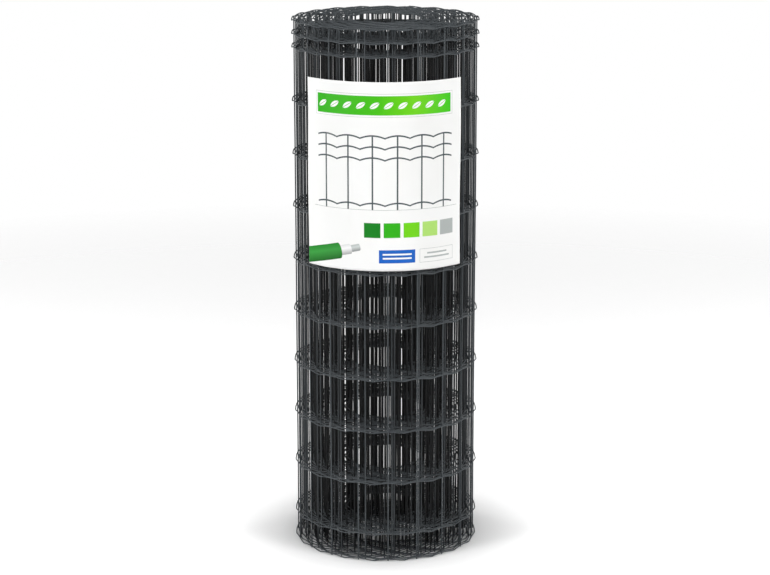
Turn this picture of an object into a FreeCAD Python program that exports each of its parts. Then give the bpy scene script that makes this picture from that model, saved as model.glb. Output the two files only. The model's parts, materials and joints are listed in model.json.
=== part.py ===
import FreeCAD, Part

import os
from math import cos, degrees, radians, sin

# A roll of welded garden mesh, wound on itself and standing on its end, with the label round its front.
# Millimetres, +Z up. The origin is the middle of the roll's foot, on its axis, and the label faces -Y.
# The roll is one turned solid with its bore, and a ring on each end stands for each layer of the mesh.

# The wires, each measured over its plastic coat.
UPRIGHT_WIRE_D = 2.5
LINE_WIRE_D = 2.2
LINE_WAVE = 3.4  # rise of a line wire from its dip, in the middle of a mesh, to its crest, at an upright

# The mesh from its foot to its head: one short bay, the full bays, then the close bays of the top border.
FOOT_BAY = 50.8
FULL_BAY = 101.6
FULL_BAYS = 9
BORDER_BAY = 25.4
BORDER_BAYS = 2

# The winding.
BORE_RADIUS = 65.0
LAYERS = 20  # layers of mesh between the bore and the outside
LAYER_PITCH = 5.75
GROOVE_DEPTH = 12.0  # of the gap between two layers, cut into each end
LAYER_CHAMFER = 0.6

# The label, a sheet bent round the front of the outer layer.
LABEL_WIDTH = 322.0  # measured round its inner face
LABEL_HEIGHT = 353.0
LABEL_BELOW_HEAD = 97.0
LABEL_THICKNESS = 0.4
LABEL_CLEARANCE = 0.3  # between the sheet and the outer layer
LABEL_TURN = -0.7  # degrees from -Y towards +X to the middle of the sheet

LAYER_THICKNESS = UPRIGHT_WIRE_D + LINE_WIRE_D
ROLL_RADIUS = BORE_RADIUS + (LAYERS - 1) * LAYER_PITCH + LAYER_THICKNESS
ROLL_HEIGHT = FOOT_BAY + FULL_BAYS * FULL_BAY + BORDER_BAYS * BORDER_BAY + LINE_WAVE + LINE_WIRE_D

AXIS_POINT = FreeCAD.Vector(0, 0, 0)
AXIS = FreeCAD.Vector(0, 0, 1)


def end_outline(level, inward):
    """The outline of one end of the roll, as (radius, height) points from the bore to the outside.

    Each layer is a flat-topped ring at the level given, with a groove between it and the next. The roll's
    body lies above the end where inward is 1, and below it where inward is -1.
    """
    groove_floor = level + inward * GROOVE_DEPTH
    shoulder = level + inward * LAYER_CHAMFER
    outline = []
    for layer in range(LAYERS):
        inner = BORE_RADIUS + layer * LAYER_PITCH
        outer = inner + LAYER_THICKNESS
        if layer > 0:
            outline.append((inner, groove_floor))
        outline.append((inner, shoulder))
        outline.append((inner + LAYER_CHAMFER, level))
        outline.append((outer - LAYER_CHAMFER, level))
        outline.append((outer, shoulder))
        if layer < LAYERS - 1:
            outline.append((outer, groove_floor))
    return outline


def mesh_roll():
    """The wound mesh: half of its section, turned about the axis of its bore."""
    foot = end_outline(0.0, 1)
    head = end_outline(ROLL_HEIGHT, -1)
    corners = [FreeCAD.Vector(radius, 0, height) for radius, height in foot + head[::-1]]
    half_section = Part.Face(Part.makePolygon(corners + corners[:1]))
    return half_section.revolve(AXIS_POINT, AXIS, 360)


def point_round(radius, angle, height):
    """The point at a radius and a height whose direction is an angle in degrees from -Y towards +X."""
    return FreeCAD.Vector(radius * sin(radians(angle)), -radius * cos(radians(angle)), height)


def label():
    """The label: its section, a thin arc outside the outer layer, raised from its bottom edge to its top."""
    inner_radius = ROLL_RADIUS + LABEL_CLEARANCE
    outer_radius = inner_radius + LABEL_THICKNESS
    half_angle = degrees(LABEL_WIDTH / inner_radius) / 2
    bottom = ROLL_HEIGHT - LABEL_BELOW_HEAD - LABEL_HEIGHT
    angles = (LABEL_TURN - half_angle, LABEL_TURN, LABEL_TURN + half_angle)
    inner = [point_round(inner_radius, angle, bottom) for angle in angles]
    outer = [point_round(outer_radius, angle, bottom) for angle in angles]
    edges = [
        Part.Arc(*inner).toShape(),
        Part.makeLine(inner[-1], outer[-1]),
        Part.Arc(*outer[::-1]).toShape(),
        Part.makeLine(outer[0], inner[0]),
    ]
    return Part.Face(Part.Wire(edges)).extrude(AXIS * LABEL_HEIGHT)


def main():
    """Builds each piece and writes it to its own STEP file."""
    os.makedirs("parts", exist_ok=True)
    pieces = {"mesh_roll": mesh_roll(), "label": label()}
    for name, shape in pieces.items():
        shape.exportStep(f"parts/{name}.step")
        print(f"{name}: {len(shape.Solids)} solid, {shape.Volume / 1e6:.3f} litres, valid {shape.isValid()}")
    print(f"roll: {2 * ROLL_RADIUS:.1f} across, {ROLL_HEIGHT:.1f} high")


main()
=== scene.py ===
"""Looks of a roll of garden mesh: coated welded wire wound on itself, with a label round its front.

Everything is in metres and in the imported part's own frame: +Z up, the roll's axis at the origin, the label
facing -Y.
The mesh is modelled flat, as it leaves the welding machine, and is then wound into its spiral.
"""

import json
import logging
import math
from collections.abc import Callable, Sequence
from dataclasses import dataclass, replace
from enum import Enum
from functools import cached_property
from typing import Any

import bmesh
import bpy
import numpy as np
from bmesh.types import BMesh
from mathutils import Matrix, Vector


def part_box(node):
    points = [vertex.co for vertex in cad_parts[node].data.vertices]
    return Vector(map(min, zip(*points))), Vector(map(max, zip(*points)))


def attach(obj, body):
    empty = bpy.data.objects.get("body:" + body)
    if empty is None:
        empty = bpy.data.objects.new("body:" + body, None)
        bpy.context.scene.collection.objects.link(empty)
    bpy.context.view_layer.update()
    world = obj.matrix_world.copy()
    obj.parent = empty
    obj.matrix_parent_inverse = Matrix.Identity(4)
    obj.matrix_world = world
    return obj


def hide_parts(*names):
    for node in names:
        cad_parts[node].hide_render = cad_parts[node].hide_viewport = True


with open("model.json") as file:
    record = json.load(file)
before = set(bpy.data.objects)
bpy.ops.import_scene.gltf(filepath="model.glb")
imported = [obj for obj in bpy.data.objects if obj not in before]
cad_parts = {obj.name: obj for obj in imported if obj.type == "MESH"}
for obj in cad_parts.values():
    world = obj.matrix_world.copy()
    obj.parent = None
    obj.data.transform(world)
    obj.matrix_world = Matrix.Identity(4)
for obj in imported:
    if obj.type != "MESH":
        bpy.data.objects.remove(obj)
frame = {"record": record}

log = logging.getLogger("roll_of_mesh")

MM = 0.001
ROLL_NODE = "mesh_roll"
LABEL_NODE = "label"
LABEL_CLEARANCE = 0.4 * MM  # between the roll and the nearest the sheet comes to it
MOTTLE_RANGE = (0.3, 0.7)  # the noise's values that become 0 and 1
# Painted glow: the colour of the glow that stands in for light coming through the paper.
PAINTED_GLOW_COLOUR = (1.0, 1.0, 0.97)  # the colour of light that has come through the paper
# The waves that a ripple is made of: strength, rates along and up, share of the ripple's start, own start.
RIPPLES = ((1.0, 1.0, 1.3, 1.0, 0.0), (0.8, 0.53, -2.1, 1.7, 1.1), (0.6, 1.71, 0.7, 0.6, 2.3))

Colour = tuple[float, float, float]
Edges = tuple[float, float, float, float]  # left, right, bottom and top
Place = Callable[[np.ndarray], np.ndarray]  # moves places, one in each row
Socket = bpy.types.NodeSocket


class Slot(Enum):
    """The record's material slots."""

    COAT = "coated_wire"
    PAPER = "label_sheet"


# ---------------------------------------------------------------------------------------------------------
# Node graphs


@dataclass
class Graph:
    """A node tree with short ways to add and join its nodes."""

    tree: bpy.types.NodeTree

    def add(self, kind: str, inputs: dict[int | str, Any] | None = None, **settings: Any) -> bpy.types.Node:
        """Adds a node.

        Args:
            kind: Its type name, such as ShaderNodeMath.
            inputs: Values or sockets for its inputs, by index or name.
            settings: Its own properties.

        Returns:
            The node.
        """
        node = self.tree.nodes.new(kind)
        for name, value in settings.items():
            setattr(node, name, value)
        for key, value in (inputs or {}).items():
            self.feed(node.inputs[key], value)
        return node

    def feed(self, socket: Socket, value: Any) -> None:
        """Links a socket to another, or gives it a value.

        Args:
            socket: The input to feed.
            value: An output to link, a colour, or a plain value.
        """
        if isinstance(value, Socket):
            self.tree.links.new(value, socket)
        elif socket.type == "RGBA" and len(value) == 3:
            socket.default_value = (*value, 1.0)
        else:
            socket.default_value = value

    def math(self, operation: str, *values: float | Socket) -> Socket:
        """Adds a Math node and returns its result."""
        return self.add("ShaderNodeMath", dict(enumerate(values)), operation=operation).outputs[0]

    def length(self, vector: Socket) -> Socket:
        """The length of a vector."""
        return self.add("ShaderNodeVectorMath", {0: vector}, operation="LENGTH").outputs["Value"]

    def mix(self, mask: float | Socket, below: Any, above: Any) -> Socket:
        """Lays one colour over another.

        Args:
            mask: Where the upper colour shows, from 0 to 1.
            below: The lower colour.
            above: The upper colour.

        Returns:
            The mixed colour.
        """
        node = self.add("ShaderNodeMix", data_type="RGBA")
        for identifier, value in (("Factor_Float", mask), ("A_Color", below), ("B_Color", above)):
            self.feed(next(s for s in node.inputs if s.identifier == identifier), value)
        return next(s for s in node.outputs if s.identifier == "Result_Color")

    def rise(self, value: Socket, low: float, high: float) -> Socket:
        """Maps low, and all below it, to 0 and high, and all above it, to 1."""
        return self.add("ShaderNodeMapRange", {0: value, 1: low, 2: high}).outputs[0]

    def spread(self, value: Socket, low: float, high: float) -> Socket:
        """Maps 0 to low and 1 to high."""
        return self.add("ShaderNodeMapRange", {0: value, 3: low, 4: high}).outputs[0]

    def ramp(self, value: Socket, stops: Sequence[tuple[float, Colour]], steps: bool = False) -> Socket:
        """Turns a value into a colour.

        Args:
            value: From 0 to 1.
            stops: Places and colours, in order.
            steps: Whether the colour changes at once, and not gradually.

        Returns:
            The colour.
        """
        node = self.add("ShaderNodeValToRGB", {0: value})
        ramp = node.color_ramp
        ramp.interpolation = "CONSTANT" if steps else "LINEAR"
        while len(ramp.elements) < len(stops):
            ramp.elements.new(1.0)
        for element, (place, colour) in zip(ramp.elements, stops):
            element.position = place
            element.color = (*colour, 1.0)
        return node.outputs[0]


@dataclass(frozen=True)
class Effects:
    """The node groups that materials share."""

    mottle: bpy.types.NodeTree
    printed_box: bpy.types.NodeTree

    @staticmethod
    def new_group(name: str, inputs: Sequence[str]) -> tuple[bpy.types.NodeTree, Graph, dict[str, Socket]]:
        """Starts a group that turns numbers into one mask.

        Args:
            name: The group's name.
            inputs: Its inputs' names.

        Returns:
            The group, its graph, and its inputs as sockets to link from.
        """
        group = bpy.data.node_groups.new(name, "ShaderNodeTree")
        for label in inputs:
            group.interface.new_socket(label, in_out="INPUT", socket_type="NodeSocketFloat")
        group.interface.new_socket("Mask", in_out="OUTPUT", socket_type="NodeSocketFloat")
        graph = Graph(group)
        given = graph.add("NodeGroupInput")
        return group, graph, {label: given.outputs[label] for label in inputs}

    @classmethod
    def build(cls) -> "Effects":
        """Builds every group once."""
        return cls(mottle=cls.build_mottle(), printed_box=cls.build_printed_box())

    @classmethod
    def build_mottle(cls) -> bpy.types.NodeTree:
        """Builds the soft uneven mask that finishes use for their colour, gloss and relief.

        Returns:
            The group.
        """
        group, graph, given = cls.new_group("mottle", ("Scale", "Detail"))
        place = graph.add("ShaderNodeTexCoord").outputs["Object"]
        noise = graph.add("ShaderNodeTexNoise", {"Vector": place, **given})
        graph.add("NodeGroupOutput", {"Mask": graph.rise(noise.outputs[0], *MOTTLE_RANGE)})
        return group

    @classmethod
    def build_printed_box(cls) -> bpy.types.NodeTree:
        """Builds the mask of a printed box whose edges run along the sheet's.

        Returns:
            The group.
        """
        group, graph, given = cls.new_group("printed_box", ("X", "Y", "Left", "Right", "Bottom", "Top"))
        limits = (("X", "Left", "Right"), ("Y", "Bottom", "Top"))
        across, up = (
            graph.math(
                "MULTIPLY",
                graph.math("GREATER_THAN", given[place], given[low]),
                graph.math("LESS_THAN", given[place], given[high]),
            )
            for place, low, high in limits
        )
        graph.add("NodeGroupOutput", {"Mask": graph.math("MULTIPLY", across, up)})
        return group


# ---------------------------------------------------------------------------------------------------------
# Finishes


@dataclass(frozen=True)
class Finish:
    """What every finish has: its colour and gloss, and how uneven they and its surface are."""

    name: str
    colour: Colour
    worn_colour: Colour
    roughness: float
    worn_roughness: float
    mottle_scale: float
    relief_scale: float
    relief_depth: float
    specular: float = 0.5
    # Strength of a painted glow, standing in for light that comes through the material.
    painted_glow: float = 0.0
    mottle_detail: float = 3.0
    relief_detail: float = 2.0

    def start(self) -> tuple[bpy.types.Material, Graph, bpy.types.Node]:
        """Makes the material with its shader and its constant values.

        Returns:
            The material, its graph and its shader.
        """
        material = bpy.data.materials.new(self.name)
        material.use_nodes = True
        material.node_tree.nodes.clear()
        material.diffuse_color = (*self.colour, 1.0)
        graph = Graph(material.node_tree)
        values = {
            "Specular IOR Level": self.specular,
            "Emission Color": PAINTED_GLOW_COLOUR,
            "Emission Strength": self.painted_glow,
        }
        shader = graph.add("ShaderNodeBsdfPrincipled", values)
        return material, graph, shader

    @staticmethod
    def mask(graph: Graph, effects: Effects, scale: float, detail: float) -> Socket:
        """Places the shared mottle in the material and returns its mask."""
        values = {"Scale": scale, "Detail": detail}
        return graph.add("ShaderNodeGroup", values, node_tree=effects.mottle).outputs["Mask"]

    def build(self, effects: Effects) -> bpy.types.Material:
        """Builds the material: two tones, two glosses and a fine relief.

        Args:
            effects: The shared groups.

        Returns:
            The material.
        """
        material, graph, shader = self.start()
        mottle = self.mask(graph, effects, self.mottle_scale, self.mottle_detail)
        graph.feed(shader.inputs["Base Color"], self.colour_over(graph, effects, mottle))
        graph.feed(shader.inputs["Roughness"], graph.spread(mottle, self.roughness, self.worn_roughness))
        grain = self.mask(graph, effects, self.relief_scale, self.relief_detail)
        bump = graph.add("ShaderNodeBump", {"Height": grain, "Distance": self.relief_depth})
        graph.feed(shader.inputs["Normal"], bump.outputs[0])
        graph.add("ShaderNodeOutputMaterial", {"Surface": self.surface(graph, shader)})
        return material

    def colour_over(self, graph: Graph, effects: Effects, mottle: Socket) -> Socket:
        """The colour over the surface: here, the two tones."""
        return graph.mix(mottle, self.colour, self.worn_colour)

    def surface(self, graph: Graph, shader: bpy.types.Node) -> Socket:
        """What the material shows: here, its shader alone."""
        return shader.outputs[0]


@dataclass(frozen=True)
class CoatFinish(Finish):
    """The wires' plastic coat, paler on the outer layers and at the head: painted shade darkens it in the
    inner layers below the head, where less light reaches.
    """

    # Painted shade: the inner layers' dark colour, full inside the first radius and below the first height,
    # fading to none at the second radius and height.
    painted_shade_colour: Colour = (0.0025, 0.003, 0.0035)
    painted_shade_radius: float = 150 * MM
    unshaded_radius: float = 172 * MM
    painted_shade_height: float = 985 * MM
    unshaded_height: float = 1012 * MM

    def colour_over(self, graph: Graph, effects: Effects, mottle: Socket) -> Socket:
        """Mixes the two tones, and darkens them with painted shade in the inner layers below the head.

        Args:
            graph: The material's graph.
            effects: The shared groups.
            mottle: The coat's unevenness.

        Returns:
            The colour.
        """
        place = graph.add("ShaderNodeTexCoord").outputs["Object"]
        parts = graph.add("ShaderNodeSeparateXYZ", {"Vector": place}).outputs
        flat = graph.add("ShaderNodeCombineXYZ", {"X": parts["X"], "Y": parts["Y"]}).outputs[0]
        # Painted shade fades out towards the outer layers and towards the head.
        unshaded_out = graph.rise(graph.length(flat), self.painted_shade_radius, self.unshaded_radius)
        head = graph.rise(parts["Z"], self.painted_shade_height, self.unshaded_height)
        unshaded = graph.math("MAXIMUM", unshaded_out, head)
        return graph.mix(unshaded, self.painted_shade_colour, super().colour_over(graph, effects, mottle))


@dataclass(frozen=True)
class FloorFinish(Finish):
    """A pale studio floor, lifted to white past the roll's shadow and fading into the white round it."""

    fade_from: float = 1.0
    fade_to: float = 3.2
    lift_from: float = 0.17
    lift_to: float = 0.3
    glow: float = 0.42

    def surface(self, graph: Graph, shader: bpy.types.Node) -> Socket:
        """Lifts the floor towards white for the eye only, and fades it out with its distance from the roll.

        Args:
            graph: The material's graph.
            shader: The floor's own shader.

        Returns:
            The faded shader.
        """
        place = graph.add("ShaderNodeTexCoord").outputs["Object"]
        reach = graph.length(place)
        seen = graph.add("ShaderNodeLightPath").outputs["Is Camera Ray"]
        lift = graph.math("MULTIPLY", seen, graph.rise(reach, self.lift_from, self.lift_to))
        strength = graph.math("MULTIPLY", lift, self.glow)
        glow = graph.add("ShaderNodeEmission", {"Color": (1.0, 1.0, 1.0), "Strength": strength})
        lifted = graph.add("ShaderNodeAddShader", {0: shader.outputs[0], 1: glow.outputs[0]})
        clear = graph.add("ShaderNodeBsdfTransparent")
        fade = graph.rise(reach, self.fade_from, self.fade_to)
        mixed = {0: fade, 1: lifted.outputs[0], 2: clear.outputs[0]}
        return graph.add("ShaderNodeMixShader", mixed).outputs[0]


class Ink(Enum):
    """The label's printing colours."""

    LEAF_GREEN = (0.03, 0.42, 0.008)
    MEADOW_GREEN = (0.06, 0.5, 0.007)
    GRASS_GREEN = (0.04, 0.56, 0.006)
    BRIGHT_GREEN = (0.16, 0.64, 0.006)
    DEEP_GREEN = (0.006, 0.21, 0.012)
    PALE_GREEN = (0.42, 0.72, 0.16)
    BLUE = (0.012, 0.12, 0.52)
    SLATE = (0.075, 0.095, 0.1)
    SILVER = (0.42, 0.45, 0.44)
    PALE_SILVER = (0.68, 0.7, 0.69)
    WHITE = (0.9, 0.9, 0.88)


@dataclass(frozen=True)
class LabelPrint(Finish):
    """The printed face of the label. Its sizes are in millimetres from the sheet's lower left corner."""

    sheet: tuple[float, float] = (322.0, 353.0)
    frame_line: float = 0.6
    banner: Edges = (27.0, 295.0, 292.0, 327.5)
    banner_margin: float = 4.0
    banner_tones: tuple[tuple[float, Ink], ...] = (
        (0.0, Ink.LEAF_GREEN), (0.45, Ink.MEADOW_GREEN), (0.72, Ink.BRIGHT_GREEN), (1.0, Ink.GRASS_GREEN),
    )
    leaf_pitch: float = 26.0
    leaf_length: float = 21.0
    leaf_width: float = 9.5
    leaf_lean: float = 0.55
    leaf_rib: float = 0.45
    picture_span: tuple[float, float] = (28.0, 298.0)
    picture_rows: tuple[float, ...] = (254.0, 233.5, 213.0, 128.0)
    picture_bar: float = 47.4
    picture_pitch: float = 46.3
    picture_wave: float = 5.0
    picture_line: float = 1.45
    ground: Edges = (18.0, 312.0, 115.1, 115.9)
    picture_foot: float = 115.5
    tiles: Edges = (124.0, 302.0, 63.0, 91.0)
    tile_gap: float = 6.0
    tile_colours: tuple[Ink, ...] = (
        Ink.DEEP_GREEN, Ink.LEAF_GREEN, Ink.BRIGHT_GREEN, Ink.PALE_GREEN, Ink.SILVER,
    )
    # Each bar's height as a share of its box's, its inset from the box's sides, and half its thickness.
    blue_box: Edges = (152.0, 220.0, 15.0, 40.0)
    blue_bars: tuple[tuple[float, float, float], ...] = ((0.36, 7.0, 1.6), (0.66, 7.0, 1.6))
    framed_box: Edges = (229.0, 302.0, 14.0, 40.0)
    framed_bars: tuple[tuple[float, float, float], ...] = ((0.36, 9.0, 1.5), (0.66, 15.0, 1.5))
    # How far each part of the stripped wire reaches from its foot, half its width, and its ink.
    wire_foot: tuple[float, float] = (0.0, 17.0)
    wire_lean: float = 0.235
    wire_parts: tuple[tuple[float, float, Ink], ...] = (
        (118.0, 6.5, Ink.SILVER), (100.0, 9.5, Ink.PALE_SILVER), (77.0, 15.0, Ink.DEEP_GREEN),
    )
    wire_start: float = -20.0
    wire_rounding: float = 0.35
    wire_shading: tuple[float, float] = (0.22, 0.5)
    wire_shades: tuple[float, float, float] = (0.25, 0.55, 0.75)
    wire_shadow: float = 0.45
    wire_shine: tuple[float, float, float] = (1.35, 0.03, 0.9)

    def colour_over(self, graph: Graph, effects: Effects, mottle: Socket) -> Socket:
        """Prints each part of the design over the paper.

        Args:
            graph: The material's graph.
            effects: The shared groups.
            mottle: The paper's own unevenness.

        Returns:
            The printed colour.
        """
        uv = graph.add("ShaderNodeUVMap", uv_map="sheet").outputs[0]
        scaled = graph.add("ShaderNodeVectorMath", {0: uv, 1: (*self.sheet, 0.0)}, operation="MULTIPLY")
        place = graph.add("ShaderNodeSeparateXYZ", {0: scaled.outputs[0]})
        paper = super().colour_over(graph, effects, mottle)
        press = Press(graph, effects.printed_box, place.outputs["X"], place.outputs["Y"], paper)
        self.print_banner(press)
        self.print_mesh_picture(press)
        self.print_tiles(press)
        self.print_wire_picture(press)
        press.lay(press.box(self.blue_box), Ink.BLUE)
        press.bars(self.blue_box, self.blue_bars, Ink.WHITE)
        press.outline(self.framed_box, self.frame_line, Ink.SILVER)
        press.bars(self.framed_box, self.framed_bars, Ink.SILVER)
        return press.colour

    def print_banner(self, press: "Press") -> None:
        """Prints the green banner, its outline, and a row of leaves on it.

        Args:
            press: What lays the inks.
        """
        graph = press.graph
        left, right, bottom, top = self.banner
        margin = self.banner_margin
        frame_edges = (left - margin, right + margin, bottom - margin, top + margin)
        press.outline(frame_edges, self.frame_line, Ink.SILVER)
        along = graph.math("DIVIDE", graph.math("SUBTRACT", press.x, left), right - left)
        tones = [(place, ink.value) for place, ink in self.banner_tones]
        press.lay(press.box(self.banner), graph.ramp(along, tones))
        leaves = press.leaf(
            origin=(left + self.leaf_pitch / 2, (bottom + top) / 2),
            pitch=self.leaf_pitch,
            length=self.leaf_length,
            width=self.leaf_width,
            lean=self.leaf_lean,
            rib=self.leaf_rib,
        )
        within = press.box((left + margin, right - margin, bottom, top))
        press.lay(graph.math("MULTIPLY", leaves, within), Ink.WHITE)

    def print_mesh_picture(self, press: "Press") -> None:
        """Prints the line picture of a mesh fence standing on the ground.

        Args:
            press: What lays the inks.
        """
        graph = press.graph
        press.lay(press.box(self.ground), Ink.SILVER)
        step = graph.math("DIVIDE", graph.math("SUBTRACT", press.x, self.picture_bar), self.picture_pitch)
        from_bar = graph.math("ABSOLUTE", graph.math("SUBTRACT", step, graph.math("ROUND", step)))
        gap = graph.math("MULTIPLY", from_bar, self.picture_pitch)
        bars = graph.math("LESS_THAN", gap, self.picture_line)
        standing = press.box((*self.picture_span, self.picture_foot, max(self.picture_rows)))
        press.lay(graph.math("MULTIPLY", bars, standing), Ink.SLATE)
        sag = graph.math("MULTIPLY", graph.math("POWER", from_bar, 2.0), 4.0 * self.picture_wave)
        raised = graph.math("ADD", press.y, sag)
        for row in self.picture_rows:
            edges = (*self.picture_span, row - self.picture_line, row + self.picture_line)
            press.lay(press.box(edges, y=raised), Ink.SLATE)

    def print_tiles(self, press: "Press") -> None:
        """Prints a strip of plain coloured tiles.

        Args:
            press: What lays the inks.
        """
        graph = press.graph
        left, right, _, _ = self.tiles
        count = len(self.tile_colours)
        width = (right - left + self.tile_gap) / count
        along = graph.math("DIVIDE", graph.math("SUBTRACT", press.x, left), width)
        inside = graph.math("LESS_THAN", graph.math("FRACT", along), 1.0 - self.tile_gap / width)
        stops = [(index / count, ink.value) for index, ink in enumerate(self.tile_colours)]
        colour = graph.ramp(graph.math("DIVIDE", along, float(count)), stops, steps=True)
        press.lay(graph.math("MULTIPLY", inside, press.box(self.tiles)), colour)

    def print_wire_picture(self, press: "Press") -> None:
        """Prints a picture of one coated wire, stripped in steps to its core, each step with a round end.

        Args:
            press: What lays the inks.
        """
        graph = press.graph
        gain, lift, limit = self.wire_shine
        along, up = press.turned(self.wire_foot, self.wire_lean)
        for reach, half, ink in self.wire_parts:
            height = graph.math("DIVIDE", up, half)
            rim = graph.math("SUBTRACT", 1.0, graph.math("POWER", height, 2.0))
            bow = graph.math("SQRT", graph.math("MAXIMUM", rim, 0.0))
            end = graph.math("MULTIPLY", bow, half * self.wire_rounding)
            trimmed = graph.math("SUBTRACT", along, end)
            part = press.box((self.wire_start, reach, -half, half), x=trimmed, y=up)
            dark = tuple(self.wire_shadow * value for value in ink.value)
            pale = tuple(min(limit, gain * value + lift) for value in ink.value)
            shade = graph.math("MULTIPLY_ADD", height, *self.wire_shading)
            press.lay(part, graph.ramp(shade, list(zip(self.wire_shades, (dark, pale, ink.value)))))


@dataclass
class Press:
    """Lays inks over a sheet, one over another, at millimetres x and y from its lower left corner."""

    graph: Graph
    printed_box: bpy.types.NodeTree
    x: Socket
    y: Socket
    colour: Socket

    def lay(self, mask: Socket, ink: Ink | Socket) -> None:
        """Prints an ink, or a colour that varies, where a mask is 1."""
        self.colour = self.graph.mix(mask, self.colour, ink.value if isinstance(ink, Ink) else ink)

    def box(self, edges: Edges, x: Socket | None = None, y: Socket | None = None) -> Socket:
        """The mask of a box.

        Args:
            edges: Its edges.
            x: The place across, if it isn't the sheet's own.
            y: The place up, if it isn't the sheet's own.

        Returns:
            The mask.
        """
        values = dict(zip(("Left", "Right", "Bottom", "Top"), edges))
        values |= {"X": x or self.x, "Y": y or self.y}
        return self.graph.add("ShaderNodeGroup", values, node_tree=self.printed_box).outputs["Mask"]

    def bars(self, edges: Edges, bars: Sequence[tuple[float, float, float]], ink: Ink) -> None:
        """Prints level bars in a box.

        Args:
            edges: The box's edges.
            bars: Each bar's height as a share of the box's, its inset, and half its thickness.
            ink: The bars' ink.
        """
        left, right, bottom, top = edges
        for share, inset, half in bars:
            middle = bottom + (top - bottom) * share
            self.lay(self.box((left + inset, right - inset, middle - half, middle + half)), ink)

    def outline(self, edges: Edges, line: float, ink: Ink) -> None:
        """Prints a box's outline.

        Args:
            edges: Its edges.
            line: The line's width.
            ink: The line's ink.
        """
        left, right, bottom, top = edges
        inner = self.box((left + line, right - line, bottom + line, top - line))
        self.lay(self.graph.math("SUBTRACT", self.box(edges), inner), ink)

    def turned(self, origin: tuple[float, float], angle: float) -> tuple[Socket, Socket]:
        """The place along and across a direction.

        Args:
            origin: Where both are 0.
            angle: The direction, in radians above the sheet's bottom edge.

        Returns:
            The places along and across it.
        """
        x = self.graph.math("SUBTRACT", self.x, origin[0])
        y = self.graph.math("SUBTRACT", self.y, origin[1])
        return self.swing(x, y, angle)

    def swing(self, x: Socket, y: Socket, angle: float) -> tuple[Socket, Socket]:
        """Turns a place about 0.

        Args:
            x: The place across the sheet.
            y: The place up it.
            angle: The new direction, in radians above the sheet's bottom edge.

        Returns:
            The places along and across the new direction.
        """
        graph = self.graph
        cosine, sine = math.cos(angle), math.sin(angle)
        along = graph.math("MULTIPLY_ADD", x, cosine, graph.math("MULTIPLY", y, sine))
        across = graph.math("MULTIPLY_ADD", y, cosine, graph.math("MULTIPLY", x, -sine))
        return along, across

    def leaf(
        self, origin: tuple[float, float], pitch: float, length: float, width: float, lean: float, rib: float
    ) -> Socket:
        """The mask of a row of leaves, each the overlap of two discs, with a bare rib down its middle.

        Args:
            origin: The middle of the first leaf.
            pitch: From one leaf to the next.
            length: A leaf's length.
            width: Its width.
            lean: Its lean, in radians above the sheet's bottom edge.
            rib: Half its rib's width.

        Returns:
            The mask.
        """
        graph = self.graph
        step = graph.math("DIVIDE", graph.math("SUBTRACT", self.x, origin[0]), pitch)
        near = graph.math("SUBTRACT", step, graph.math("ROUND", step))
        x = graph.math("MULTIPLY", near, pitch)
        along, across = self.swing(x, graph.math("SUBTRACT", self.y, origin[1]), lean)
        aside = graph.math("ABSOLUTE", across)
        radius = (length**2 + width**2) / (4.0 * width)
        squared = graph.math("POWER", graph.math("ADD", aside, radius - width / 2.0), 2.0)
        squared = graph.math("MULTIPLY_ADD", along, along, squared)
        inside = graph.math("LESS_THAN", squared, radius**2)
        return graph.math("MULTIPLY", inside, graph.math("GREATER_THAN", aside, rib))


# ---------------------------------------------------------------------------------------------------------
# The flat mesh and its winding


@dataclass(frozen=True)
class Wire:
    """A round wire, measured over its coat."""

    diameter: float
    sides: int

    @property
    def radius(self) -> float:
        """Half its diameter."""
        return self.diameter / 2


@dataclass(frozen=True)
class FlatMesh:
    """The mesh before it is wound: its wires, its rows, and how its line wires are crimped.

    Its places are (along the mesh, out from the uprights, up), with the first upright at 0.
    """

    spacing: float = 53.8 * MM
    upright: Wire = Wire(2.5 * MM, 10)
    line: Wire = Wire(2.2 * MM, 8)
    foot_bay: float = 50.8 * MM
    full_bay: float = 101.6 * MM
    full_bays: int = 9
    border_bay: float = 25.4 * MM
    border_bays: int = 2
    wave: float = 3.4 * MM
    bulge: float = 1.5 * MM
    weld_sink: float = 0.1 * MM
    wire_end: float = 3.0 * MM

    @property
    def line_offset(self) -> float:
        """From the middle of an upright out to the middle of a line wire, at their weld."""
        return self.upright.radius + self.line.radius - self.weld_sink

    def row_heights(self) -> list[float]:
        """The height of each line wire at its crests.

        Returns:
            The heights, from the foot up.
        """
        steps = [self.foot_bay] + [self.full_bay] * self.full_bays + [self.border_bay] * self.border_bays
        foot = self.line.radius + self.wave
        return [foot + sum(steps[:count]) for count in range(len(steps) + 1)]

    def crimp(self, places: np.ndarray) -> np.ndarray:
        """Bends what lies between two uprights down and out, most of all half-way between them.

        Args:
            places: Places on the straight mesh, one in each row.

        Returns:
            The bent places.
        """
        meshes = places[:, 0] / self.spacing
        between = (2 * (meshes - np.round(meshes))) ** 2
        bent = places.copy()
        bent[:, 1] += self.bulge * between
        bent[:, 2] -= self.wave * between
        return bent


@dataclass(frozen=True)
class Stagger:
    """How far the layers' uprights stand from the outermost layer's, at the middle of the front or back."""

    start: float
    step: float
    growth: float

    def lays(self, count: int) -> list[float]:
        """The first layers' distances, inward, to the right as seen from the front."""
        return [self.start + self.step * layer + self.growth * layer**2 for layer in range(count)]


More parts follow.
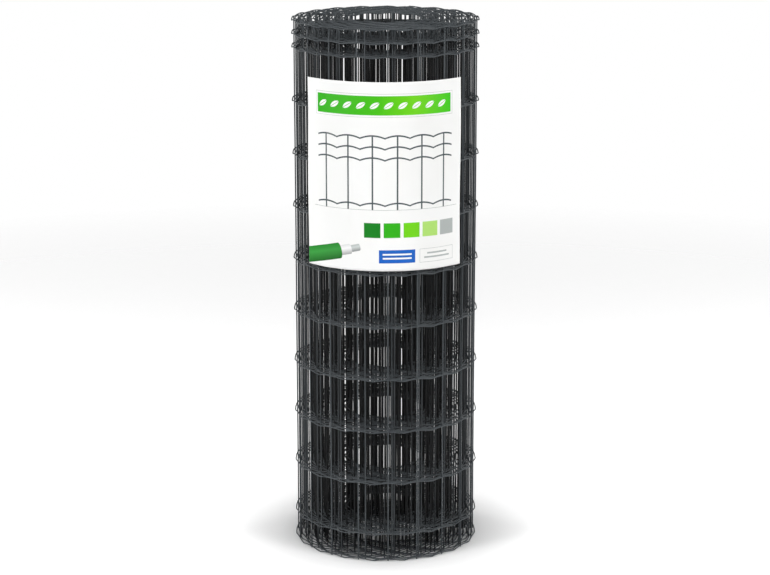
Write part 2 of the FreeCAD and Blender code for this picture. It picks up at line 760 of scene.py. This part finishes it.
@dataclass(frozen=True)
class Winding:
    """The spiral that the flat mesh is wound into, from its outer end at the back to its end at the bore.

    Turns are counted inward from the outer end. The layers are slid along a little, so that their uprights
    stand where the lays say at the middle of the front and of the back. The slides at the sides are added
    to those in between, from the outer end inward.
    """

    outer_radius: float
    inner_radius: float
    flat: FlatMesh
    pitch: float = 5.65 * MM
    snug_turns: float = 0.42
    slack: float = 0.5 * MM
    slack_rates: tuple[float, float, float] = (0.62, 5.0, 0.0)
    drift: float = 0.8 * MM
    drift_rates: tuple[float, float, float] = (0.11, 4.0, 2.0)
    front_gap: float = 5.2 * MM
    outer_lays: tuple[float, ...] = (0.0, 7.9 * MM, 12.5 * MM, -6.4 * MM, -13.0 * MM)
    deep_lays: Stagger = Stagger(21.4 * MM, -7.25 * MM, -0.08 * MM)
    back_lays: Stagger = Stagger(54.0 * MM, -14.45 * MM, 0.33 * MM)
    outer_slides: tuple[float, ...] = (16.2 * MM, -11.8 * MM, 7.2 * MM, 14.7 * MM, 18.3 * MM, -1.1 * MM)
    deep_slide: float = 8.0 * MM
    deep_slide_wave: tuple[float, float] = (1.0925, 2.5936)
    samples: int = 9000

    @property
    def total_turns(self) -> float:
        """How many turns there are."""
        return (self.outer_radius - self.inner_radius) / self.pitch + self.snug_turns

    def radius_at(self, turns: np.ndarray) -> np.ndarray:
        """The radius of the uprights at places along the spiral."""
        return self.outer_radius - self.pitch * np.maximum(turns - self.snug_turns, 0.0)

    def crossings(self) -> list[tuple[float, float]]:
        """Lists where each layer crosses the middle of the front and of the back.

        Returns:
            The turns at each crossing, and how far on from an upright the mesh is there.
        """
        layers = math.floor(self.total_turns)
        front = [*self.outer_lays, *self.deep_lays.lays(layers - len(self.outer_lays))]
        back = self.back_lays.lays(layers)
        listed = [(0.5 + layer, self.front_gap + lay) for layer, lay in enumerate(front)]
        listed += [(1.0 + layer, -self.front_gap - lay) for layer, lay in enumerate(back)]
        return sorted(crossing for crossing in listed if crossing[0] < self.total_turns)

    def slides(self, turns: np.ndarray, meshes: np.ndarray) -> tuple[np.ndarray, np.ndarray]:
        """Works out how far the layers are slid along.

        Args:
            turns: Places along the spiral.
            meshes: How many meshes are laid by then, before any slide.

        Returns:
            The turns at the front, the back and the sides, and the slide at each, in meshes.
        """
        places: list[float] = []
        slides: list[float] = []
        for crossing, beyond in self.crossings():
            slide = beyond / self.flat.spacing - float(np.interp(crossing, turns, meshes))
            last = slides[-1] if slides else 0.0
            places.append(crossing)
            slides.append(slide - round(slide - last))
        sides = np.arange(0.25, self.total_turns, 0.5)
        rate, start = self.deep_slide_wave
        added = self.deep_slide * np.sin(rate * np.arange(len(sides)) + start)
        added[: len(self.outer_slides)] = self.outer_slides
        beside = np.interp(sides, places, slides) + added / self.flat.spacing
        all_places = np.concatenate((places, sides))
        order = np.argsort(all_places)
        return all_places[order], np.concatenate((slides, beside))[order]

    @cached_property
    def counted(self) -> tuple[np.ndarray, np.ndarray]:
        """Pairs the turns with the meshes laid by then, slides and all.

        Returns:
            The turns, and the meshes at each.
        """
        turns = np.linspace(0.0, self.total_turns, self.samples)
        wire_radius = self.radius_at(turns) + self.flat.line_offset + self.flat.bulge / 3
        rate = 2 * math.pi * wire_radius / self.flat.spacing
        steps = (rate[1:] + rate[:-1]) / 2 * np.diff(turns)
        meshes = np.concatenate(([0.0], np.cumsum(steps)))
        return turns, meshes + np.interp(turns, *self.slides(turns, meshes))

    @cached_property
    def first(self) -> int:
        """The mesh count at the first upright."""
        return math.ceil(float(self.counted[1][0]) + self.flat.wire_end / self.flat.spacing)

    @cached_property
    def count(self) -> int:
        """How many uprights there are."""
        last = math.floor(float(self.counted[1][-1]) - self.flat.wire_end / self.flat.spacing)
        return last - self.first + 1

    @property
    def length(self) -> float:
        """The flat mesh's length from its first upright to its last."""
        return (self.count - 1) * self.flat.spacing

    def wind(self, places: np.ndarray) -> np.ndarray:
        """Winds places on the flat mesh round the roll.

        Args:
            places: Places (along, out, up), one in each row.

        Returns:
            Places (x, y, z).
        """
        turns, meshes = self.counted
        along = places[:, 0] / self.flat.spacing
        height = places[:, 2]
        at = np.interp(along + self.first, meshes, turns)
        slack = self.slack * self.ripple(along, height, self.slack_rates)
        radius = self.radius_at(at) + places[:, 1] + slack
        drift = self.drift * self.ripple(along, height, self.drift_rates)
        angle = math.pi - 2 * math.pi * at - drift / radius
        return np.column_stack((radius * np.sin(angle), -radius * np.cos(angle), height))

    @staticmethod
    def ripple(along: np.ndarray, up: np.ndarray, rates: tuple[float, float, float]) -> np.ndarray:
        """A smooth uneven wave, from about -1 to 1.

        Args:
            along: The place along the mesh.
            up: The place up it.
            rates: How fast the wave runs along and up, and where it starts, so that two can differ.

        Returns:
            The wave at each place.
        """
        along_rate, up_rate, start = rates
        waves = [
            strength * np.sin(run * along_rate * along + rise * up_rate * up + shift * start + own_start)
            for strength, run, rise, shift, own_start in RIPPLES
        ]
        return sum(waves) / sum(strength for strength, *_ in RIPPLES)


# ---------------------------------------------------------------------------------------------------------
# Pieces


@dataclass
class Piece:
    """One finished piece of the object: its name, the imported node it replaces, and its finish's slot."""

    name: str
    node: str
    slot: Slot

    def finish(self, bm: BMesh, place: Place, materials: Sequence[bpy.types.Material]) -> bpy.types.Object:
        """Turns a modelled shape into the finished piece, at the origin and riding on the roll.

        Args:
            bm: The shape, still flat. It is freed.
            place: What moves its points from the flat to their place.
            materials: Its materials, in order.

        Returns:
            The piece.
        """
        bmesh.ops.recalc_face_normals(bm, faces=bm.faces)
        for face in bm.faces:
            face.smooth = len(face.verts) <= 4
        mesh = bpy.data.meshes.new(self.name)
        bm.to_mesh(mesh)
        bm.free()
        points = np.empty(len(mesh.vertices) * 3)
        mesh.vertices.foreach_get("co", points)
        mesh.vertices.foreach_set("co", place(points.reshape(-1, 3)).ravel())
        mesh.update()
        piece = bpy.data.objects.new(self.name, mesh)
        bpy.context.scene.collection.objects.link(piece)
        for material in materials:
            mesh.materials.append(material)
        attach(piece, "root")
        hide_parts(self.node)
        mesh.calc_loop_triangles()
        log.info("%s: %d triangles", self.name, len(mesh.loop_triangles))
        return piece


@dataclass
class WoundMesh:
    """The welded mesh, wound: its uprights, its line wires and their welds."""

    flat: FlatMesh
    winding: Winding
    bend_steps: int = 6
    upright_steps: int = 16
    upright_end: float = 0.6 * MM
    weld_radius: float = 1.7 * MM
    weld_squash: tuple[float, float, float] = (1.15, 0.75, 0.95)

    def place(self, places: np.ndarray) -> np.ndarray:
        """Crimps and winds places on the flat mesh."""
        return self.winding.wind(self.flat.crimp(places))

    @staticmethod
    def draw_wire(bm: BMesh, wire: Wire, start: Vector, end: Vector, steps: int) -> None:
        """Draws a straight wire and divides its length into equal steps, so that it can bend.

        Args:
            bm: Where it goes.
            wire: Its section.
            start: One end.
            end: The other end.
            steps: How many steps.
        """
        run = end - start
        facing = run.to_track_quat("Z", "Y").to_matrix().to_4x4()
        drawn = bmesh.ops.create_cone(
            bm,
            cap_ends=True,
            segments=wire.sides,
            radius1=wire.radius,
            radius2=wire.radius,
            depth=run.length,
            matrix=Matrix.Translation((start + end) / 2) @ facing,
        )
        edges = {edge for vert in drawn["verts"] for edge in vert.link_edges}
        lengthwise = [edge for edge in edges if edge.calc_length() > run.length / 2]
        bmesh.ops.subdivide_edges(bm, edges=lengthwise, cuts=steps - 1)

    def repeat(self, bm: BMesh) -> None:
        """Repeats what is modelled at the first upright at all the others.

        Args:
            bm: Where it is.
        """
        bmesh.ops.spin(
            bm,
            geom=bm.verts[:] + bm.edges[:] + bm.faces[:],
            cent=(0.0, 0.0, 0.0),
            axis=(0.0, 0.0, 1.0),
            dvec=(self.flat.spacing, 0.0, 0.0),
            angle=0.0,
            steps=self.winding.count - 1,
            use_merge=False,
            use_duplicate=True,
        )

    def build_uprights(self, material: bpy.types.Material) -> None:
        """Builds every upright wire.

        Args:
            material: The coat.
        """
        bm = bmesh.new()
        top = self.flat.row_heights()[-1] + self.flat.line.radius - self.upright_end / 2
        foot, head = Vector((0.0, 0.0, self.upright_end)), Vector((0.0, 0.0, top))
        self.draw_wire(bm, self.flat.upright, foot, head, self.upright_steps)
        self.repeat(bm)
        Piece("uprights", ROLL_NODE, Slot.COAT).finish(bm, self.place, [material])

    def build_line_wires(self, material: bpy.types.Material) -> None:
        """Builds each line wire, from the foot up.

        Args:
            material: The coat.
        """
        for number, height in enumerate(self.flat.row_heights(), start=1):
            bm = bmesh.new()
            start = Vector((-self.flat.wire_end, self.flat.line_offset, height))
            end = Vector((self.winding.length + self.flat.wire_end, self.flat.line_offset, height))
            self.draw_wire(bm, self.flat.line, start, end, (self.winding.count - 1) * self.bend_steps)
            Piece(f"line_wire_{number:02d}", ROLL_NODE, Slot.COAT).finish(bm, self.place, [material])

    def build_welds(self, material: bpy.types.Material) -> None:
        """Builds the swelling of the coat where two wires are welded.

        Args:
            material: The coat.
        """
        bm = bmesh.new()
        depth = self.flat.line_offset / 2
        for height in self.flat.row_heights():
            place = Matrix.Translation((0.0, depth, height)) @ Matrix.Diagonal((*self.weld_squash, 1.0))
            bmesh.ops.create_icosphere(bm, subdivisions=1, radius=self.weld_radius, matrix=place)
        self.repeat(bm)
        Piece("welds", ROLL_NODE, Slot.COAT).finish(bm, self.place, [material])

    def build(self, upright_coat: bpy.types.Material, line_coat: bpy.types.Material) -> None:
        """Builds the whole mesh.

        Args:
            upright_coat: The uprights' coat.
            line_coat: The line wires' coat, and the welds'.
        """
        self.build_uprights(upright_coat)
        self.build_line_wires(line_coat)
        self.build_welds(line_coat)


@dataclass
class Label:
    """The printed sheet round the front of the outer layer."""

    width: float
    height: float
    bottom: float
    radius: float
    facet: float
    turn: float = math.radians(-0.7)
    thickness: float = 0.25 * MM
    columns: int = 112
    rows: int = 72
    facet_depth: float = 1.1 * MM
    facet_start: float = 0.8
    facet_share: float = 0.6
    slack_waves: tuple[tuple[float, float, float], ...] = ((9.0, 21.0, 0.0), (17.0, -13.0, 1.0))
    lift: float = 1.6 * MM
    lift_reach: float = 30.0 * MM
    lift_share: tuple[float, float] = (0.55, 0.45)
    lift_rate: float = 23.0
    lift_start: float = 2.0

    def bend(self, places: np.ndarray) -> np.ndarray:
        """Bends the flat sheet round the roll, slack between the wires and lifting a little at its sides.

        Args:
            places: Places on a flat sheet one unit wide and high, about its middle.

        Returns:
            The places round the roll.
        """
        across = places[:, 0] * self.width
        up = (places[:, 1] + 0.5) * self.height
        facets = np.cos(2 * math.pi * across / self.facet + self.facet_start)
        slack = sum(np.sin(rise * up + run * across + start) for rise, run, start in self.slack_waves) / 2
        depth = (1.0 + self.facet_share * facets + (1.0 - self.facet_share) * slack) / 2
        side = np.exp((np.abs(across) - self.width / 2) / self.lift_reach)
        mean, swing = self.lift_share
        loose = mean + swing * np.sin(self.lift_rate * up + self.lift_start * np.sign(across))
        radius = self.radius + self.facet_depth * depth + self.lift * side * loose
        angle = self.turn + across / self.radius
        return np.column_stack((radius * np.sin(angle), -radius * np.cos(angle), self.bottom + up))

    def build(self, face: bpy.types.Material, back: bpy.types.Material) -> None:
        """Builds the sheet.

        Args:
            face: The printed side.
            back: The plain side and the edges.
        """
        bm = bmesh.new()
        bm.loops.layers.uv.new("sheet")
        bmesh.ops.create_grid(bm, x_segments=self.columns, y_segments=self.rows, size=0.5, calc_uvs=True)
        piece = Piece("label_sheet", LABEL_NODE, Slot.PAPER).finish(bm, self.bend, [face, back])
        wall = piece.modifiers.new("thickness", "SOLIDIFY")
        wall.thickness = self.thickness
        wall.offset = -1.0
        wall.material_offset = 1
        wall.material_offset_rim = 1


# ---------------------------------------------------------------------------------------------------------
# The studio


@dataclass
class Softbox:
    """One soft lamp, aimed at the roll."""

    name: str
    place: tuple[float, float, float]
    size: tuple[float, float]
    power: float
    aim: tuple[float, float, float] = (0.0, 0.0, 0.5)

    def build(self) -> None:
        """Builds the lamp."""
        light = bpy.data.lights.new(self.name, "AREA")
        light.shape = "RECTANGLE"
        light.size, light.size_y = self.size
        light.energy = self.power
        lamp = bpy.data.objects.new(self.name, light)
        lamp.location = self.place
        toward = Vector(self.aim) - Vector(self.place)
        lamp.rotation_euler = toward.to_track_quat("-Z", "Y").to_euler()
        bpy.context.scene.collection.objects.link(lamp)


@dataclass
class Studio:
    """The floor, the lamps, the white surround and the camera."""

    camera_distance: float = 4.375
    camera_height: float = 1.572
    camera_pitch: float = math.radians(13.81)
    camera_lens: float = 108.8
    camera_sensor: float = 36.0
    floor_radius: float = 4.0
    floor_sides: int = 96
    ambient: float = 0.05
    lamps: tuple[Softbox, ...] = (
        Softbox("key", (-2.7, -1.75, 1.5), (1.2, 2.2), 80.0),
        Softbox("fill", (2.7, -1.75, 1.5), (1.2, 2.2), 74.0),
        Softbox("front", (0.0, -3.6, 2.4), (1.6, 1.2), 13.0),
        Softbox("top", (0.0, -0.3, 3.2), (1.8, 1.8), 36.0),
        Softbox("left_edge", (-2.2, 1.5, 1.2), (0.6, 1.8), 16.0),
        Softbox("right_edge", (2.2, 1.5, 1.2), (0.6, 1.8), 16.0),
    )

    def build_camera(self) -> None:
        """Builds the camera in front of the roll."""
        data = bpy.data.cameras.new("camera")
        data.lens = self.camera_lens
        data.sensor_width = self.camera_sensor
        camera = bpy.data.objects.new("camera", data)
        camera.location = (0.0, -self.camera_distance, self.camera_height)
        camera.rotation_euler = (math.pi / 2 - self.camera_pitch, 0.0, 0.0)
        bpy.context.scene.collection.objects.link(camera)
        bpy.context.scene.camera = camera

    def build_floor(self, material: bpy.types.Material) -> None:
        """Builds the floor that the roll stands on.

        Args:
            material: Its finish.
        """
        bm = bmesh.new()
        bmesh.ops.create_circle(bm, cap_ends=True, segments=self.floor_sides, radius=self.floor_radius)
        mesh = bpy.data.meshes.new("floor")
        bm.to_mesh(mesh)
        bm.free()
        mesh.materials.append(material)
        floor = bpy.data.objects.new("floor", mesh)
        bpy.context.scene.collection.objects.link(floor)

    def build_surround(self) -> None:
        """Builds the surround: white to the eye, and a plain even light on the roll."""
        world = bpy.data.worlds.new("surround")
        world.use_nodes = True
        world.node_tree.nodes.clear()
        graph = Graph(world.node_tree)
        path = graph.add("ShaderNodeLightPath")
        seen = graph.math("MAXIMUM", path.outputs["Is Camera Ray"], path.outputs["Is Transmission Ray"])
        strength = graph.spread(seen, self.ambient, 1.0)
        light = graph.add("ShaderNodeBackground", {"Color": (1.0, 1.0, 1.0), "Strength": strength})
        graph.add("ShaderNodeOutputWorld", {"Surface": light.outputs[0]})
        bpy.context.scene.world = world

    def build(self, floor_material: bpy.types.Material) -> None:
        """Builds the whole studio.

        Args:
            floor_material: The floor's finish.
        """
        self.build_camera()
        self.build_floor(floor_material)
        self.build_surround()
        for lamp in self.lamps:
            lamp.build()
        bpy.context.scene.view_settings.view_transform = "Standard"


# ---------------------------------------------------------------------------------------------------------
# Finishes of this roll

UPRIGHT_COAT = CoatFinish(
    name="anthracite_coat",
    colour=(0.05, 0.058, 0.064),
    worn_colour=(0.068, 0.077, 0.083),
    roughness=0.36,
    worn_roughness=0.48,
    mottle_scale=38.0,
    relief_scale=1400.0,
    relief_depth=0.00012,
    specular=0.3,
)
# The line wires and welds get a much weaker painted shade than the uprights.
LINE_COAT = replace(UPRIGHT_COAT, name="line_wire_coat", painted_shade_colour=(0.046, 0.053, 0.058))
LABEL_FACE = LabelPrint(
    name="printed_label",
    colour=(0.9, 0.905, 0.9),
    worn_colour=(0.88, 0.88, 0.865),
    roughness=0.5,
    worn_roughness=0.6,
    mottle_scale=9.0,
    relief_scale=600.0,
    relief_depth=0.00002,
    specular=0.2,
)
LABEL_BACK = Finish(
    name="label_back",
    colour=(0.8, 0.8, 0.78),
    worn_colour=(0.74, 0.74, 0.72),
    roughness=0.6,
    worn_roughness=0.7,
    mottle_scale=60.0,
    relief_scale=700.0,
    relief_depth=0.00004,
    # Painted glow on the back, standing in for light through the paper.
    painted_glow=0.22,
)
FLOOR = FloorFinish(
    name="studio_floor",
    colour=(0.9, 0.9, 0.9),
    worn_colour=(0.88, 0.88, 0.88),
    roughness=0.7,
    worn_roughness=0.8,
    mottle_scale=3.0,
    relief_scale=60.0,
    relief_depth=0.0001,
    specular=0.2,
)


def roll_sizes(flat: FlatMesh) -> tuple[float, float]:
    """Works out the spiral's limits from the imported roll.

    Args:
        flat: The flat mesh.

    Returns:
        The radius of the outermost upright and of the innermost.
    """
    low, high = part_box(ROLL_NODE)
    bore = next(mount for mount in frame["record"]["mounts"] if mount["name"] == "core_bore")
    outer = (high.x - low.x) / 2 - flat.line.radius - flat.bulge - flat.line_offset
    return outer, bore["dims"]["r_mm"] * MM + flat.upright.radius


def main() -> None:
    """Builds the roll, its label and the studio."""
    logging.basicConfig(level=logging.INFO, format="%(name)s: %(message)s")
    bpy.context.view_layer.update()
    effects = Effects.build()
    flat = FlatMesh()
    outer, inner = roll_sizes(flat)
    winding = Winding(outer, inner, flat)
    sizes = (winding.count, winding.total_turns, winding.length)
    log.info("%d uprights in %.2f turns of %.2f m of mesh", *sizes)
    WoundMesh(flat, winding).build(UPRIGHT_COAT.build(effects), LINE_COAT.build(effects))
    low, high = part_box(LABEL_NODE)
    roll_low, roll_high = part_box(ROLL_NODE)
    label = Label(
        width=LABEL_FACE.sheet[0] * MM,
        height=high.z - low.z,
        bottom=low.z,
        radius=(roll_high.x - roll_low.x) / 2 + LABEL_CLEARANCE,
        facet=flat.spacing,
    )
    label.build(LABEL_FACE.build(effects), LABEL_BACK.build(effects))
    Studio().build(FLOOR.build(effects))


if __name__ == "__main__":
    main()
